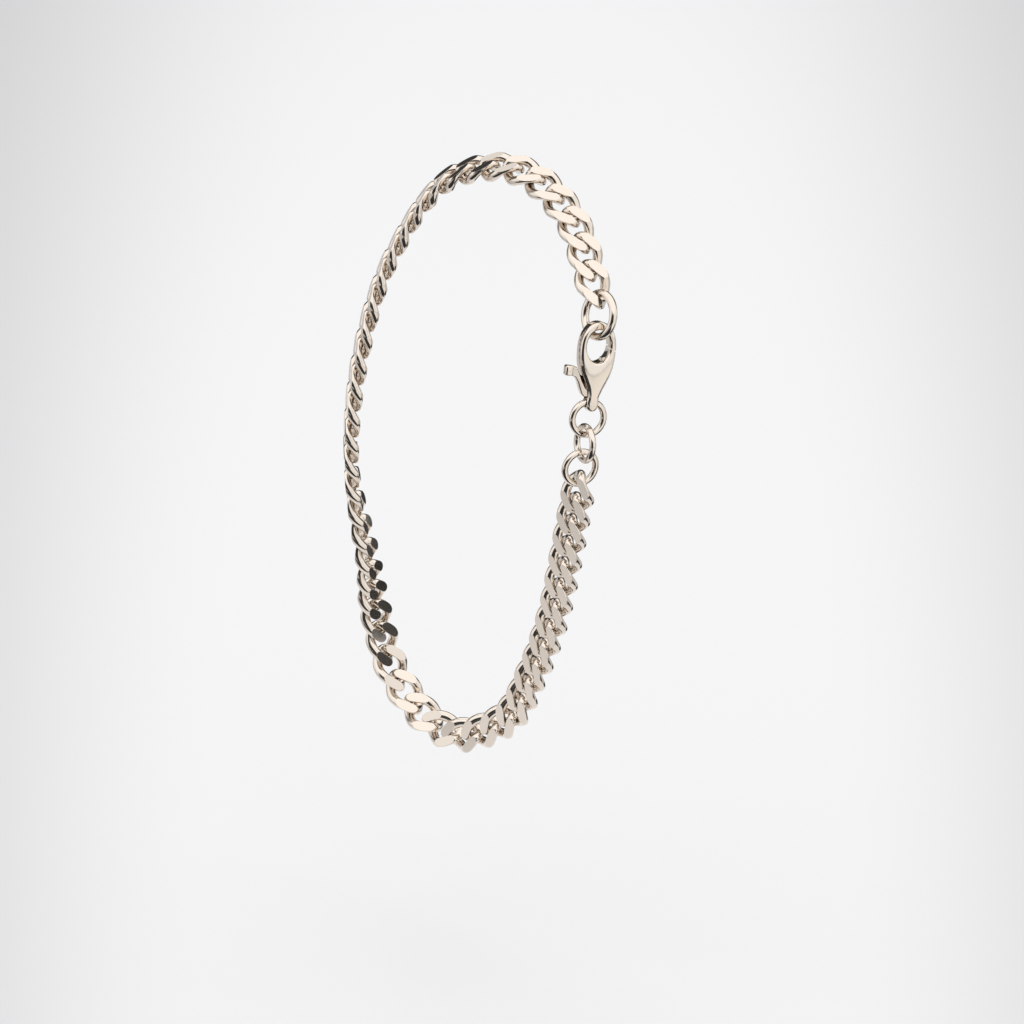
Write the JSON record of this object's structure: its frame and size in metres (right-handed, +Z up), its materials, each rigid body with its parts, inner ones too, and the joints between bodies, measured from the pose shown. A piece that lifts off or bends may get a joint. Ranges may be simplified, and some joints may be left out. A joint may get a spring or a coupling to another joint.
{
  "type": "chain bracelet",
  "caption": "Polished silver curb-chain bracelet, twisted flat-ground links, closed by a sprung lobster clasp with jump rings, held in the open loop it hangs in.",
  "frame": {"origin": "underside of the chain's highest link, where the bracelet hangs", "axes": "+X to the right as seen from the clasp side, +Y to the back, +Z up, away from the lowest link"},
  "size_m": [0.037, 0.0332, 0.0888],
  "materials": {
    "silver": "polished"
  },
  "bodies": {
    "bracelet": {"chain_front": "silver", "chain_back": "silver", "big_ring": "silver", "ring_a": "silver", "ring_b": "silver", "ring_c": "silver", "clasp_body": "silver", "clasp_rivet": "silver"},
    "lever": {"clasp_lever": "silver"}
  },
  "joints": [
    {"name": "lever_hinge", "type": "hinge", "parent": "bracelet", "child": "lever", "pos_m": [0.00886, -0.01698, -0.02389], "axis": [0.3914, -0.8992, 0.1954], "range_deg": [0, 19], "stiffness_Nm_per_rad": 0.02, "springref_deg": -11.46}
  ]
}
